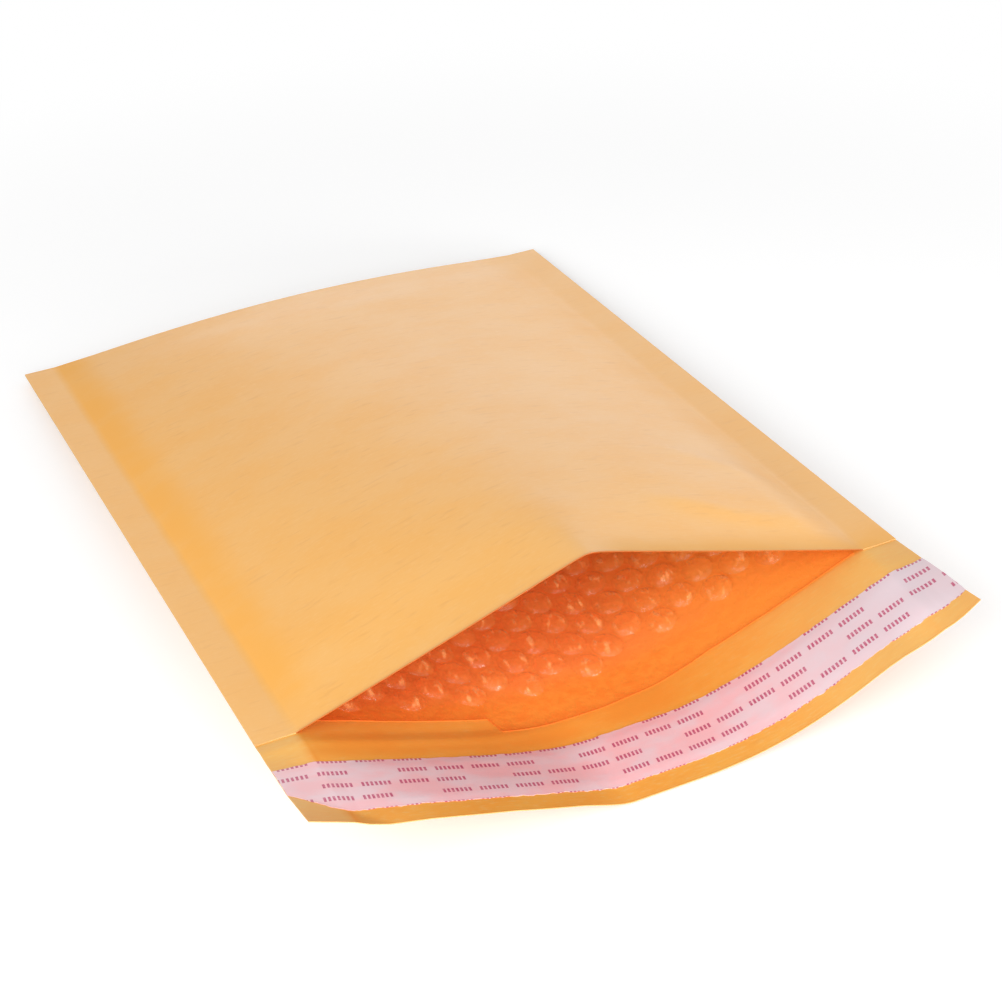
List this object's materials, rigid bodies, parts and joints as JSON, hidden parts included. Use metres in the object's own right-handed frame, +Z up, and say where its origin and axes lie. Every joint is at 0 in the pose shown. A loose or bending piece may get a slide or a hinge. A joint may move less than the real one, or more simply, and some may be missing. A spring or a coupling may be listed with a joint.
{
  "type": "padded envelope",
  "caption": "Kraft paper padded envelope lying open, with a bubble-film lining, sealed side seams and a flap that carries an adhesive strip under a peel-off liner.",
  "frame": {"origin": "middle of the overall footprint, on the surface that the envelope lies on", "axes": "+X across the envelope, +Y along it from the flap to the bottom fold, +Z up through the open mouth's front panel"},
  "size_m": [0.2, 0.29, 0.0488],
  "materials": {
    "kraft_paper": "smooth machine-glazed kraft, golden tan",
    "bubble_film": "thin clear film laminated to kraft, which colours it orange",
    "hot_melt": "tacky pale amber pressure-sensitive adhesive",
    "liner_film": "coated release liner, pale pink"
  },
  "bodies": {
    "root": {"kraft_envelope": "kraft_paper", "bubble_lining": "bubble_film", "adhesive_strip": "hot_melt", "release_liner": "liner_film"}
  },
  "joints": []
}
